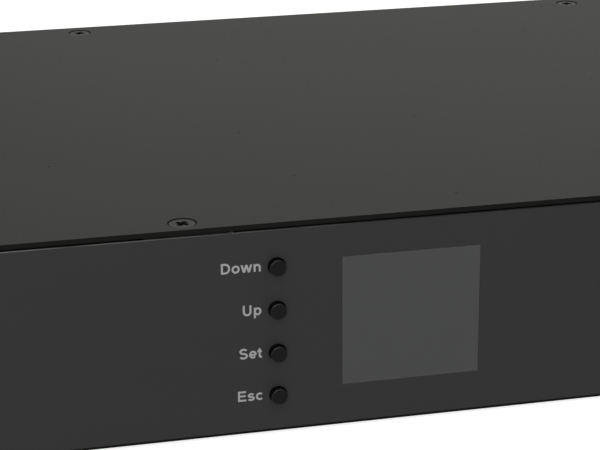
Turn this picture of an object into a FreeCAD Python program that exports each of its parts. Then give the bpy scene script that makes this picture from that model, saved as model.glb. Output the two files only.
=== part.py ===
import FreeCAD, Part
import math
import operator
import os
from types import SimpleNamespace

import Sketcher
from FreeCAD import Vector

# Driving sizes in millimetres, kept in the document's spreadsheet
SIZES = {
    # Folded steel case, one rack unit high
    "rack_width": 482.6,
    "unit_height": 43.7,
    "case_depth": 165.8,
    "sheet_gauge": 1.0,
    "bend_radius": 0.4,
    "lid_gap": 0.35,
    "tab_width": 16.0,
    "tab_length": 12.0,
    "relief_width": 1.2,
    "relief_depth": 3.0,
    # Countersunk screws that hold the cover
    "cover_screw_pitch": 135.0,
    "cover_screw_margin": 10.0,
    "front_setback": 4.2,
    "rear_setback": 5.7,
    "cover_screw_head": 5.5,
    "cover_screw_thread": 3.0,
    "cover_screw_length": 6.0,
    "cover_screw_angle": 110.0,
    "head_seam": 0.15,
    "thread_clearance": 0.1,
    # Rack brackets
    "ear_width": 21.3,
    "rack_slot_inset": 8.75,
    "rack_slot_drop": 5.975,
    "rack_slot_length": 10.5,
    "rack_slot_width": 7.0,
    "bracket_gauge": 2.0,
    "bracket_bend": 1.0,
    "bracket_rise": 0.35,
    "bracket_leg": 62.0,
    "bracket_corner": 2.5,
    # Front film, window and screen
    "overlay_gauge": 0.5,
    "overlay_inset": 2.0,
    "overlay_rise": 0.95,
    "overlay_corner": 0.8,
    "window_width": 27.8,
    "window_height": 26.8,
    "window_across": -23.46,
    "window_rise": 0.45,
    "window_seam": 0.05,
    "screen_margin": 3.0,
    "screen_gauge": 2.4,
    "screen_gap": 0.2,
    "polariser_margin": 1.2,
    "polariser_gauge": 0.2,
    "holder_wall": 2.0,
    # Buttons and their switches
    "button_width": 3.5,
    "button_hole": 4.0,
    "button_opening": 5.0,
    "button_pitch": 8.89,
    "button_across": -50.27,
    "button_drop": 0.11,
    "button_proud": 1.45,
    "button_rim": 0.3,
    "button_travel": 0.25,
    "switch_side": 6.0,
    "switch_gauge": 3.5,
    "switch_reach": 9.5,
    "stem_seat": 1.0,
    "stem_clearance": 0.1,
    # Circuit boards and what holds them
    "board_gauge": 1.6,
    "board_overhang": 10.7,
    "board_border": 3.2,
    "clip_width": 7.0,
    "clip_base": 1.7,
    "clip_grip": 1.2,
    "clip_lip": 1.4,
    "clip_fit": 0.05,
    "clip_setback": 40.0,
    "header_width": 8.0,
    "header_gauge": 7.0,
    "ribbon_width": 10.0,
    "ribbon_gauge": 0.9,
    "ribbon_up": 17.0,
    "ribbon_bend": 24.0,
    # Rear outlets
    "outlet_row_across": 12.0,
    "outlet_row_gap": 20.0,
    "outlet_spacing": 0.5,
    "outlet_width": 31.2,
    "outlet_height": 23.2,
    "outlet_depth": 25.0,
    "outlet_lip": 1.4,
    "outlet_lip_gauge": 1.8,
    "outlet_lip_corner": 1.5,
    "outlet_fit": 0.1,
    "outlet_shell": 1.2,
    "moat_width": 2.6,
    "moat_depth": 16.0,
    "moat_corner": 5.0,
    "core_drop": 0.8,
    "pin_spread": 7.0,
    "pin_drop": 2.0,
    "pin_slot_width": 2.6,
    "pin_slot_height": 4.6,
    "latch_height": 7.0,
    "latch_length": 5.0,
    "latch_proud": 0.9,
    # Brass bars behind the outlets
    "bar_gauge": 1.0,
    "bar_height": 5.0,
    "bar_drop": 8.0,
    "bar_overhang": 6.0,
    "neutral_step": 4.0,
    "contact_gauge": 0.8,
    "contact_length": 17.0,
    # Mains inlet
    "inlet_margin": 8.0,
    "inlet_lip": 2.8,
    "inlet_lip_gauge": 2.4,
    "inlet_lip_corner": 3.0,
    "inlet_width": 34.4,
    "inlet_height": 26.4,
    "inlet_depth": 26.0,
    "inlet_wall": 2.4,
    "inlet_recess_depth": 20.0,
    "inlet_pin_width": 8.0,
    "inlet_pin_gauge": 2.0,
    "inlet_pin_spread": 6.5,
    "inlet_pin_rise": 4.0,
    "inlet_pin_setback": 3.0,
    "inlet_tab_length": 8.0,
    # Push-to-reset breaker
    "breaker_gap": 7.0,
    "breaker_width": 13.0,
    "breaker_height": 22.0,
    "breaker_depth": 33.0,
    "breaker_lip": 1.6,
    "breaker_lip_gauge": 1.8,
    "breaker_lip_corner": 1.2,
    "breaker_tab_rise": 6.5,
    "breaker_tab_width": 6.3,
    "breaker_tab_gauge": 0.8,
    "breaker_tab_length": 8.0,
    "reset_width": 7.0,
    "reset_height": 12.0,
    "reset_proud": 2.0,
    "reset_seat": 10.0,
    "reset_fit": 0.15,
    "reset_rim": 0.6,
    # Network sockets and the controller board
    "jack_margin": 12.0,
    "jack_pitch": 18.0,
    "jack_width": 16.0,
    "jack_height": 13.4,
    "jack_depth": 21.3,
    "jack_proud": 0.6,
    "jack_fit": 0.2,
    "jack_mouth_width": 11.8,
    "jack_mouth_height": 8.0,
    "jack_mouth_depth": 13.0,
    "jack_floor": 1.8,
    "jack_key_width": 6.2,
    "jack_key_height": 2.2,
    "controller_lift": 6.0,
    "controller_border": 4.0,
    "controller_depth": 100.0,
    "controller_setback": 0.6,
    "part_gap": 2.0,
    "chip_side": 14.0,
    "chip_gauge": 1.4,
    "transformer_width": 22.0,
    "transformer_depth": 18.0,
    "transformer_height": 16.0,
    "capacitor_width": 18.0,
    "capacitor_gauge": 8.5,
    "capacitor_height": 15.0,
    "capacitor_gap": 7.75,
    "terminal_width": 10.0,
    "terminal_depth": 11.0,
    "terminal_height": 15.0,
    "terminal_inset": 3.0,
    "link_width": 2.4,
    # Current sensor and inside wiring
    "sensor_width": 20.0,
    "sensor_opening": 8.0,
    "sensor_gauge": 9.0,
    "sensor_edge": 2.0,
    "sensor_back": 12.0,
    "wire_width": 3.4,
    "wire_bend": 9.0,
    "wire_step": 10.0,
    "wire_drop": 4.0,
}
BUTTON_NAMES = ("down", "up", "set", "esc")
WIRE_FLATS = 6
BEND_CHORDS = 3
NEUTRAL_RISE = 0.6
KEY_SLOPE = 2 - math.sqrt(2)
EDGE_TOLERANCE = 1e-4

doc = FreeCAD.newDocument("rack_power_unit")
sheet = doc.addObject("Spreadsheet::Sheet", "Sizes")
for row, (alias, number) in enumerate(SIZES.items(), 1):
    sheet.set(f"A{row}", alias)
    sheet.set(f"B{row}", str(number))
    sheet.setAlias(f"B{row}", alias)
doc.recompute()


class Size:
    """A length that is both a number and the sheet formula that a feature is bound to."""

    def __init__(self, value, text):
        self.value = value
        self.text = text

    def __add__(self, other):
        return combine(self, other, "+", operator.add)

    def __radd__(self, other):
        return combine(other, self, "+", operator.add)

    def __sub__(self, other):
        return combine(self, other, "-", operator.sub)

    def __rsub__(self, other):
        return combine(other, self, "-", operator.sub)

    def __mul__(self, other):
        return combine(self, other, "*", operator.mul)

    def __rmul__(self, other):
        return combine(other, self, "*", operator.mul)

    def __truediv__(self, other):
        return combine(self, other, "/", operator.truediv)

    def __neg__(self):
        return combine(0.0, self, "-", operator.sub)


def as_size(amount):
    return amount if isinstance(amount, Size) else Size(float(amount), repr(float(amount)))


def combine(left, right, sign, work):
    left = as_size(left)
    right = as_size(right)
    return Size(work(left.value, right.value), f"({left.text} {sign} {right.text})")


def bind(item, slot, amount):
    item.setExpression(slot, as_size(amount).text)


S = SimpleNamespace(**{alias: Size(sheet.get(alias), f"Sizes.{alias}") for alias in SIZES})

# Levels that the pieces share: depth runs from the front film back to the rear wall, height from the floor
bend_outer = S.bend_radius + S.sheet_gauge
total_depth = S.button_proud + S.overlay_gauge + S.case_depth + S.breaker_lip_gauge + S.reset_proud
front = S.button_proud - total_depth / 2
wall_front = front + S.overlay_gauge
wall_inner = wall_front + S.sheet_gauge
rear = wall_front + S.case_depth
rear_inner = rear - S.sheet_gauge
lid_under = S.unit_height - S.sheet_gauge
wall_top = lid_under - S.lid_gap
middle = S.unit_height / 2
window_up = middle + S.window_rise
button_up = middle - S.button_drop
tray_half = S.rack_width / 2 - S.ear_width
inner_half = tray_half - S.sheet_gauge
pieces = []


def piece(name):
    """A new sub-part, whose label names its file."""
    body = doc.addObject("PartDesign::Body", name)
    body.Label = name
    pieces.append(body)
    return body


def pattern_source(name):
    """A body that is only copied into groups."""
    return doc.addObject("PartDesign::Body", name)


def sketch(body, name, plane, level):
    drawing = body.newObject("Sketcher::SketchObject", f"{body.Name}_{name}_sketch")
    support = next(item for item in body.Origin.OriginFeatures if item.Role == plane)
    drawing.AttachmentSupport = (support, [""])
    drawing.MapMode = "FlatFace"
    bind(drawing, "AttachmentOffset.Base.z", -level if plane == "XZ_Plane" else level)
    return drawing


def hold(drawing, kind, geometry, amount):
    """One driving constraint, bound to its formula."""
    amount = as_size(amount)
    index = drawing.addConstraint(Sketcher.Constraint(kind, *geometry, amount.value))
    drawing.setExpression(f"Constraints[{index}]", amount.text)


def hold_point(drawing, geometry, point, across, up):
    hold(drawing, "DistanceX", (-1, 1, geometry, point), across)
    hold(drawing, "DistanceY", (-1, 1, geometry, point), up)


def flat(across, up):
    return Vector(as_size(across).value, as_size(up).value, 0)


def outline(*points):
    """A closed run of straight lines through the given corners."""
    def draw(drawing):
        first = drawing.GeometryCount
        count = len(points)
        for index in range(count):
            following = points[(index + 1) % count]
            drawing.addGeometry(Part.LineSegment(flat(*points[index]), flat(*following)))
        for index in range(count):
            following = first + (index + 1) % count
            drawing.addConstraint(Sketcher.Constraint("Coincident", first + index, 2, following, 1))
        for index, (across, up) in enumerate(points):
            hold_point(drawing, first + index, 1, across, up)
    return draw


def rectangle(left, low, right, high):
    return outline((left, low), (right, low), (right, high), (left, high))


def centred(across, up, width, height):
    return rectangle(across - width / 2, up - height / 2, across + width / 2, up + height / 2)


def keyed(across, up, width, height, corner):
    """A rectangle with its two upper corners cut off."""
    left = across - width / 2
    right = across + width / 2
    low = up - height / 2
    high = up + height / 2
    return outline(
        (left, low), (right, low), (right, high - corner),
        (right - corner, high), (left + corner, high), (left, high - corner),
    )


def circle(across, up, diameter):
    def draw(drawing):
        radius = as_size(diameter).value / 2
        index = drawing.addGeometry(Part.Circle(flat(across, up), Vector(0, 0, 1), radius))
        hold_point(drawing, index, 3, across, up)
        hold(drawing, "Diameter", (index,), diameter)
    return draw


def slot(across, up, length, width):
    """A level slot with round ends."""
    def draw(drawing):
        reach = (length - width) / 2
        radius = width / 2
        quarter = math.pi / 2
        ends = []
        for centre, start in ((across - reach, quarter), (across + reach, -quarter)):
            ring = Part.Circle(flat(centre, up), Vector(0, 0, 1), radius.value)
            ends.append(drawing.addGeometry(Part.ArcOfCircle(ring, start, start + 2 * quarter)))
        left, right = ends
        sides = []
        for side, level in ((1, up - radius), (-1, up + radius)):
            run = Part.LineSegment(flat(across - reach * side, level), flat(across + reach * side, level))
            sides.append(drawing.addGeometry(run))
        low, high = sides
        for one, other in ((left, low), (low, right), (right, high), (high, left)):
            drawing.addConstraint(Sketcher.Constraint("Tangent", one, 2, other, 1))
        for end, centre in ((left, across - reach), (right, across + reach)):
            hold_point(drawing, end, 3, centre, up)
            hold(drawing, "Radius", (end,), radius)
    return draw


def draw_all(drawing, shapes):
    for shape in shapes:
        shape(drawing)
    return drawing


def pad(body, name, plane, low, high, *shapes):
    """Material between two levels of the plane's own axis."""
    start = high if plane == "XZ_Plane" else low
    feature_sketch = draw_all(sketch(body, name, plane, as_size(start)), shapes)
    feature = body.newObject("PartDesign::Pad", f"{body.Name}_{name}")
    feature.Profile = feature_sketch
    bind(feature, "Length", high - low)
    return feature


def pocket(body, name, plane, low, high, *shapes):
    """An opening between two levels of the plane's own axis."""
    doc.recompute()
    before = body.Shape.Volume
    start = low if plane == "XZ_Plane" else high
    feature_sketch = draw_all(sketch(body, name, plane, as_size(start)), shapes)
    feature = body.newObject("PartDesign::Pocket", f"{body.Name}_{name}")
    feature.Profile = feature_sketch
    bind(feature, "Length", high - low)
    doc.recompute()
    if not body.Shape.Volume < before:
        raise RuntimeError(f"{feature.Name} cuts nothing")
    return feature


def revolve(body, name, *points):
    """A turned form: the outline is spun about the vertical axis."""
    profile = draw_all(sketch(body, name, "XZ_Plane", as_size(0)), [outline(*points)])
    feature = body.newObject("PartDesign::Revolution", f"{body.Name}_{name}")
    feature.Profile = profile
    feature.ReferenceAxis = (profile, ["V_Axis"])
    feature.Angle = 360
    return feature


def countersink(body, name, level, places, bore, mouth, angle):
    """Through holes whose countersink opens on the given level."""
    marks = [circle(across, up, bore) for across, up in places]
    feature_sketch = draw_all(sketch(body, name, "XY_Plane", level), marks)
    doc.recompute()
    feature = body.newObject("PartDesign::Hole", f"{body.Name}_{name}")
    feature.Profile = feature_sketch
    doc.recompute()
    feature.Threaded = False
    feature.DepthType = "Dimension"
    feature.DrillPoint = "Flat"
    feature.HoleCutType = "Countersink"
    feature.HoleCutCustomValues = True
    bind(feature, "HoleCutCountersinkAngle", angle)
    bind(feature, "Diameter", bore)
    bind(feature, "HoleCutDiameter", mouth)
    bind(feature, "Depth", mouth)
    return feature


def lies(**levels):
    """A test for edges that lie wholly at the given coordinates."""
    def test(edge):
        box = edge.BoundBox
        for axis, amount in levels.items():
            level = as_size(amount).value
            spans = (getattr(box, axis.upper() + "Min"), getattr(box, axis.upper() + "Max"))
            if max(abs(span - level) for span in spans) > EDGE_TOLERANCE:
                return False
        return True
    return test


def dress(body, kind, name, slot_name, amount, tests):
    doc.recompute()
    base = body.Tip
    edges = enumerate(base.Shape.Edges, 1)
    chosen = [f"Edge{index}" for index, edge in edges if any(test(edge) for test in tests)]
    if not chosen:
        raise RuntimeError(f"no edge for {body.Name}_{name}")
    feature = body.newObject(kind, f"{body.Name}_{name}")
    feature.Base = (base, chosen)
    bind(feature, slot_name, amount)
    return feature


def fillet(body, name, radius, *tests):
    return dress(body, "PartDesign::Fillet", name, "Radius", radius, tests)


def chamfer(body, name, width, *tests):
    return dress(body, "PartDesign::Chamfer", name, "Size", width, tests)


def group(name, source, places):
    """Like pieces that share one node: copies of one body, each at its own place."""
    copies = []
    for number, place in enumerate(places, 1):
        copy = doc.addObject("App::Link", f"{name}_{number}")
        copy.LinkedObject = source
        for axis, amount in zip("xyz", place):
            bind(copy, f"Placement.Base.{axis}", amount)
        copies.append(copy)
    whole = doc.addObject("Part::Compound", name)
    whole.Label = name
    whole.Links = copies
    pieces.append(whole)
    return whole


def fit_count(room, pitch):
    """How many like pieces have room side by side."""
    return int(room.value / pitch.value + EDGE_TOLERANCE)


def spread(centre, pitch, count):
    """Places at one pitch, evenly on either side of a centre."""
    return [centre + pitch * (number - (count - 1) / 2) for number in range(count)]


# Places along the width, with as many screws and outlets as it has room for
cover_screw_room = 2 * (tray_half - S.cover_screw_margin)
cover_screw_count = fit_count(cover_screw_room, S.cover_screw_pitch) + 1
cover_screw_across = spread(as_size(0), S.cover_screw_pitch, cover_screw_count)
cover_screw_shank = S.cover_screw_thread - 2 * S.thread_clearance
cover_screw_rows = (wall_front + S.front_setback, rear - S.rear_setback)
button_ups = [button_up + S.button_pitch * (1.5 - order) for order in range(len(BUTTON_NAMES))]
inlet_lip_width = S.inlet_width + 2 * S.inlet_lip
inlet_across = S.inlet_margin + inlet_lip_width / 2 - inner_half
breaker_half = S.breaker_width / 2 + S.breaker_lip
breaker_across = inlet_across + inlet_lip_width / 2 + S.breaker_gap + breaker_half
jack_across = [inner_half - S.jack_margin - S.jack_width / 2 - S.jack_pitch * step for step in (1, 0)]
outlet_pitch = S.outlet_width + 2 * S.outlet_lip + S.outlet_spacing
outlet_rooms = (
    S.outlet_row_across - breaker_across - breaker_half,
    jack_across[0] - S.jack_width / 2 - S.outlet_row_across,
)
outlet_room = min(outlet_rooms, key=lambda room: room.value)
outlet_count = fit_count(2 * (outlet_room - S.outlet_row_gap), outlet_pitch)
outlet_across = spread(S.outlet_row_across, outlet_pitch, outlet_count)
controller_top = S.sheet_gauge + S.controller_lift + S.board_gauge
jack_up = controller_top + S.jack_height / 2


def base_tray():
    """Pan folded from one sheet: bottom, four walls, and bent tabs that take the cover's screws."""
    body = piece("base_tray")
    gauge = S.sheet_gauge
    pad(body, "pan", "XY_Plane", as_size(0), wall_top, rectangle(-tray_half, wall_front, tray_half, rear))
    hollow = rectangle(-inner_half, wall_inner, inner_half, rear_inner)
    pocket(body, "hollow", "XY_Plane", gauge, wall_top, hollow)
    fillet(body, "outer_bends", bend_outer, lies(z=0))
    fillet(body, "inner_bends", S.bend_radius, lies(z=gauge))
    half = S.tab_width / 2
    tabs = []
    reliefs = []
    for across in cover_screw_across:
        tabs.append(rectangle(across - half, wall_front, across + half, wall_front + S.tab_length))
        tabs.append(rectangle(across - half, rear - S.tab_length, across + half, rear))
        for side in (-1, 1):
            near = across + half * side
            far = across + (half + S.relief_width) * side
            edges = (near, far) if side > 0 else (far, near)
            reliefs.append(rectangle(edges[0], wall_top - S.relief_depth, edges[1], lid_under))
    pad(body, "tabs", "XY_Plane", lid_under - gauge, lid_under, *tabs)
    pocket(body, "reliefs", "XZ_Plane", wall_front, rear, *reliefs)
    fillet(body, "tab_outer_bends", bend_outer, lies(y=wall_front, z=lid_under), lies(y=rear, z=lid_under))
    under = lid_under - gauge
    fillet(body, "tab_inner_bends", S.bend_radius, lies(y=wall_inner, z=under), lies(y=rear_inner, z=under))
    places = [(across, row) for row in cover_screw_rows for across in cover_screw_across]
    taps = [circle(across, row, S.cover_screw_thread) for across, row in places]
    pocket(body, "tapped_holes", "XY_Plane", under, lid_under, *taps)
    button_run = S.button_pitch * (len(BUTTON_NAMES) - 1) + S.button_opening
    pocket(
        body, "front_openings", "XZ_Plane", wall_front, wall_inner,
        centred(S.window_across, window_up, S.window_width, S.window_height),
        centred(S.button_across, button_up, S.button_opening, button_run),
    )
    fit = 2 * S.outlet_fit
    outlet_cuts = [
        centred(across, middle, S.outlet_width + fit, S.outlet_height + fit) for across in outlet_across
    ]
    jack_fit = 2 * S.jack_fit
    jack_cuts = [
        centred(across, jack_up, S.jack_width + jack_fit, S.jack_height + jack_fit) for across in jack_across
    ]
    pocket(
        body, "rear_openings", "XZ_Plane", rear_inner, rear, *outlet_cuts, *jack_cuts,
        centred(inlet_across, middle, S.inlet_width + fit, S.inlet_height + fit),
        centred(breaker_across, middle, S.breaker_width + fit, S.breaker_height + fit),
    )
    return body


def top_cover():
    """Flat lid cut from the same sheet, with countersunk screw holes along its front and back edges."""
    body = piece("top_cover")
    pad(body, "lid", "XY_Plane", lid_under, S.unit_height, rectangle(-tray_half, wall_front, tray_half, rear))
    places = [(across, row) for row in cover_screw_rows for across in cover_screw_across]
    mouth = S.cover_screw_head + 2 * S.head_seam
    countersink(body, "screw_holes", S.unit_height, places, cover_screw_shank, mouth, S.cover_screw_angle)
    return body


def cover_screws():
    """Thin-sheet countersunk screws, flush with the lid and threaded into the tray's tabs."""
    source = pattern_source("cover_screw")
    head = S.cover_screw_head / 2
    shank = cover_screw_shank / 2
    cone = (head - shank) / math.tan(math.radians(S.cover_screw_angle.value / 2))
    length = S.cover_screw_length
    revolve(source, "turning", (0, 0), (head, 0), (shank, -cone), (shank, -length), (0, -length))
    places = [(across, row, S.unit_height) for row in cover_screw_rows for across in cover_screw_across]
    return group("cover_screws", source, places)


def rack_bracket(name, side):
    """Angle bracket folded from thick sheet: a leg welded to the case and an ear with two slots."""
    body = piece(name)
    gauge = S.bracket_gauge
    inner = tray_half * side
    outer = (tray_half + gauge) * side
    tip = S.rack_width / 2 * side
    ear_back = front + gauge
    leg_end = front + S.bracket_leg
    low = S.bracket_rise
    high = S.unit_height - S.bracket_rise
    section = outline(
        (inner, front), (tip, front), (tip, ear_back), (outer, ear_back), (outer, leg_end), (inner, leg_end),
    )
    pad(body, "fold", "XY_Plane", low, high, section)
    fillet(body, "outer_bend", S.bracket_bend + gauge, lies(x=inner, y=front))
    fillet(body, "inner_bend", S.bracket_bend, lies(x=outer, y=ear_back))
    fillet(
        body, "corners", S.bracket_corner, lies(x=tip, z=low), lies(x=tip, z=high),
        lies(y=leg_end, z=low), lies(y=leg_end, z=high),
    )
    slot_across = (S.rack_width / 2 - S.rack_slot_inset) * side
    slots = [
        slot(slot_across, up, S.rack_slot_length, S.rack_slot_width)
        for up in (S.rack_slot_drop, S.unit_height - S.rack_slot_drop)
    ]
    pocket(body, "slots", "XZ_Plane", front, ear_back, *slots)
    return body


def front_overlay():
    """Matt film panel, with the button holes and the opening for the clear window."""
    body = piece("front_overlay")
    half = tray_half - S.overlay_inset
    pad(
        body, "film", "XZ_Plane", front, wall_front,
        rectangle(-half, S.overlay_rise, half, wall_top),
        centred(S.window_across, window_up, S.window_width, S.window_height),
        *[circle(S.button_across, up, S.button_hole) for up in button_ups],
    )
    corners = [lies(x=side * half, z=level) for side in (-1, 1) for level in (S.overlay_rise, wall_top)]
    chamfer(body, "corners", S.overlay_corner, *corners)
    return body


def display_window():
    body = piece("display_window")
    width = S.window_width - 2 * S.window_seam
    height = S.window_height - 2 * S.window_seam
    pad(body, "pane", "XZ_Plane", front, wall_front, centred(S.window_across, window_up, width, height))
    return body


screen_width = S.window_width + 2 * S.screen_margin
screen_height = S.window_height + 2 * S.screen_margin
screen_face = wall_inner + S.screen_gap
screen_back = screen_face + S.polariser_gauge + S.screen_gauge
board_face = front - S.button_proud + S.switch_reach
board_back = board_face + S.board_gauge
board_left = S.button_across - S.board_overhang
board_right = S.window_across + screen_width / 2 + S.board_overhang
board_low = S.board_border
board_high = wall_top - S.board_border


def display_module():
    """Square screen: a backed glass with a slightly raised polarising face."""
    body = piece("display_module")
    glass = screen_face + S.polariser_gauge
    panel = centred(S.window_across, window_up, screen_width, screen_height)
    pad(body, "glass", "XZ_Plane", glass, screen_back, panel)
    face_width = S.window_width + 2 * S.polariser_margin
    face_height = S.window_height + 2 * S.polariser_margin
    face = centred(S.window_across, window_up, face_width, face_height)
    pad(body, "polariser", "XZ_Plane", screen_face, glass, face)
    return body


def display_holder():
    """Moulded frame that carries the screen on the board."""
    body = piece("display_holder")
    wall = 2 * S.holder_wall
    pad(
        body, "frame", "XZ_Plane", screen_back, board_face,
        centred(S.window_across, window_up, screen_width, screen_height),
        centred(S.window_across, window_up, screen_width - wall, screen_height - wall),
    )
    return body


def control_board():
    body = piece("control_board")
    pad(
        body, "board", "XZ_Plane", board_face, board_back,
        rectangle(board_left, board_low, board_right, board_high),
    )
    return body


def control_board_clips():
    """Moulded clips on the front wall that grip the board's lower and upper edges."""
    body = piece("control_board_clips")
    before = board_face - S.clip_fit
    behind = board_back + S.clip_fit
    end = board_back + S.clip_lip
    sections = []
    for edge, outward in ((board_low, -1), (board_high, 1)):
        base = edge + S.clip_base * outward
        seat = edge + S.clip_fit * outward
        grip = edge - S.clip_grip * outward
        sections.append(outline(
            (wall_inner, base), (end, base), (end, grip), (behind, grip),
            (behind, seat), (before, seat), (before, grip), (wall_inner, grip),
        ))
    for name, left in (("left", board_left), ("right", board_right - S.clip_width)):
        pad(body, name, "YZ_Plane", left, left + S.clip_width, *sections)
    return body


def button_and_switch(name, up):
    """A round stem that travels in the front hole, and the switch body that it presses."""
    switch_face = board_face - S.switch_gauge
    switch = piece(f"key_switch_{name}")
    side = S.switch_side
    pad(switch, "case", "XZ_Plane", switch_face, board_face, centred(S.button_across, up, side, side))
    socket_end = switch_face + S.stem_seat + S.button_travel + S.stem_clearance
    opening = S.button_width + 2 * S.stem_clearance
    socket = centred(S.button_across, up, opening, opening)
    pocket(switch, "socket", "XZ_Plane", switch_face, socket_end, socket)
    button = piece(f"button_{name}")
    tip = front - S.button_proud
    stem = circle(S.button_across, up, S.button_width)
    pad(button, "stem", "XZ_Plane", tip, switch_face + S.stem_seat, stem)
    chamfer(button, "rim", S.button_rim, lies(y=tip))


def snap_in_block(body, across, width, height, depth, lip, lip_gauge, lip_corner):
    """A moulded block behind the rear wall, held by the lip round its face and two sprung latches."""
    lip_width = width + 2 * lip
    lip_height = height + 2 * lip
    pad(body, "lip", "XZ_Plane", rear, rear + lip_gauge, centred(across, middle, lip_width, lip_height))
    corners = [
        lies(x=across + lip_width / 2 * side, z=middle + lip_height / 2 * level)
        for side in (-1, 1)
        for level in (-1, 1)
    ]
    chamfer(body, "lip_corners", lip_corner, *corners)
    pad(body, "block", "XZ_Plane", rear - depth, rear, centred(across, middle, width, height))
    start = rear_inner - S.outlet_fit
    low = middle - S.latch_height / 2
    for name, side in (("left", -1), ("right", 1)):
        wall = across + width / 2 * side
        latch = outline((wall, start), (wall + S.latch_proud * side, start), (wall, start - S.latch_length))
        pad(body, f"{name}_latch", "XY_Plane", low, low + S.latch_height, latch)


def outlet(name, across):
    """Snap-in outlet: a moulded block with a lip, a moat round the core and three contact slots."""
    body = piece(name)
    width = S.outlet_width
    height = S.outlet_height
    back = rear - S.outlet_depth
    face = rear + S.outlet_lip_gauge
    snap_in_block(
        body, across, width, height, S.outlet_depth, S.outlet_lip, S.outlet_lip_gauge, S.outlet_lip_corner,
    )
    moat_w = width - 2 * S.outlet_shell
    moat_h = height - 2 * S.outlet_shell
    core_w = moat_w - 2 * S.moat_width
    core_h = moat_h - 2 * S.moat_width
    core_corner = S.moat_corner - S.moat_width * KEY_SLOPE
    core = keyed(across, middle, core_w, core_h, core_corner)
    moat = keyed(across, middle, moat_w, moat_h, S.moat_corner)
    pocket(body, "moat", "XZ_Plane", face - S.moat_depth, face, moat, core)
    pocket(body, "core_face", "XZ_Plane", face - S.core_drop, face, core)
    slots = [centred(across + x, middle + z, S.pin_slot_width, S.pin_slot_height) for x, z in pin_places()]
    pocket(body, "contact_slots", "XZ_Plane", back, face, *slots)
    return body


def pin_places():
    """Live, neutral and earth slots, from the outlet's centre."""
    return ((S.pin_spread, -S.pin_drop), (-S.pin_spread, -S.pin_drop), (as_size(0), S.pin_drop))


outlet_back = rear - S.outlet_depth
bar_left = outlet_across[0] - S.outlet_width / 2 - S.bar_overhang
bar_right = outlet_across[-1] + S.outlet_width / 2 + S.bar_overhang
live_up = middle - S.bar_drop
neutral_up = middle - S.pin_drop
earth_up = middle + S.bar_drop
neutral_back = outlet_back - S.neutral_step


def contact_bar(name, pin, strip_up, back):
    """Brass bar behind the outlets, with a spring contact, on a tab where it needs one, for every outlet."""
    body = piece(name)
    pin_x, pin_z = pin
    half = S.bar_height / 2
    strip = rectangle(bar_left, strip_up - half, bar_right, strip_up + half)
    pad(body, "strip", "XZ_Plane", back - S.bar_gauge, back, strip)
    contact_half = S.pin_slot_height / 2 - S.outlet_fit
    contact_low = middle + pin_z - contact_half
    contact_high = middle + pin_z + contact_half
    tabs = []
    contacts = []
    for across in outlet_across:
        left = across + pin_x - S.pin_slot_width / 2 + S.outlet_fit
        right = left + S.contact_gauge
        tab_right = left + S.bar_height
        contacts.append(rectangle(left, contact_low, right, contact_high))
        if strip_up.value > contact_high.value:
            tabs.append(rectangle(left, contact_low, tab_right, strip_up))
        elif strip_up.value < contact_low.value:
            tabs.append(rectangle(left, strip_up, tab_right, contact_high))
    if tabs:
        pad(body, "tabs", "XZ_Plane", back - S.bar_gauge, back, *tabs)
    pad(body, "contacts", "XZ_Plane", back - S.bar_gauge, outlet_back + S.contact_length, *contacts)
    return body


def contact_bars():
    live, neutral, earth = pin_places()
    contact_bar("live_bar", live, live_up, outlet_back)
    contact_bar("neutral_bar", neutral, neutral_up, neutral_back)
    contact_bar("earth_bar", earth, earth_up, outlet_back)


inlet_face = rear + S.inlet_lip_gauge
inlet_back = rear - S.inlet_depth
inlet_pin_places = [
    (inlet_across - S.inlet_pin_spread, middle - S.inlet_pin_rise),
    (inlet_across + S.inlet_pin_spread, middle - S.inlet_pin_rise),
    (inlet_across, middle + S.inlet_pin_rise),
]


def power_inlet():
    """Snap-in mains inlet: a moulded cup with three blade pins."""
    body = piece("power_inlet")
    snap_in_block(
        body, inlet_across, S.inlet_width, S.inlet_height, S.inlet_depth,
        S.inlet_lip, S.inlet_lip_gauge, S.inlet_lip_corner,
    )
    recess_width = S.inlet_width - 2 * S.inlet_wall
    recess_height = S.inlet_height - 2 * S.inlet_wall
    recess = centred(inlet_across, middle, recess_width, recess_height)
    recess_floor = inlet_face - S.inlet_recess_depth
    pocket(body, "recess", "XZ_Plane", recess_floor, inlet_face, recess)
    blades = [centred(x, z, S.inlet_pin_width, S.inlet_pin_gauge) for x, z in inlet_pin_places]
    pocket(body, "pin_slots", "XZ_Plane", inlet_back, recess_floor, *blades)
    pins = piece("inlet_pins")
    pin_end = inlet_face - S.inlet_pin_setback
    pad(pins, "blades", "XZ_Plane", inlet_back - S.inlet_tab_length, pin_end, *blades)


breaker_back = rear - S.breaker_depth


def breaker():
    """Snap-in push-to-reset breaker: a moulded case with two tabs, and the button in its face."""
    body = piece("breaker_body")
    snap_in_block(
        body, breaker_across, S.breaker_width, S.breaker_height, S.breaker_depth,
        S.breaker_lip, S.breaker_lip_gauge, S.breaker_lip_corner,
    )
    tabs = [
        centred(breaker_across, middle + S.breaker_tab_rise * side, S.breaker_tab_width, S.breaker_tab_gauge)
        for side in (-1, 1)
    ]
    pad(body, "tabs", "XZ_Plane", breaker_back - S.breaker_tab_length, breaker_back, *tabs)
    face = rear + S.breaker_lip_gauge
    seat = rear - S.reset_seat
    fit = 2 * S.reset_fit
    well = centred(breaker_across, middle, S.reset_width + fit, S.reset_height + fit)
    pocket(body, "button_well", "XZ_Plane", seat - S.reset_fit, face, well)
    button = piece("breaker_button")
    tip = face + S.reset_proud
    stem = centred(breaker_across, middle, S.reset_width, S.reset_height)
    pad(button, "stem", "XZ_Plane", seat, tip, stem)
    chamfer(button, "rim", S.reset_rim, lies(y=tip))


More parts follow.
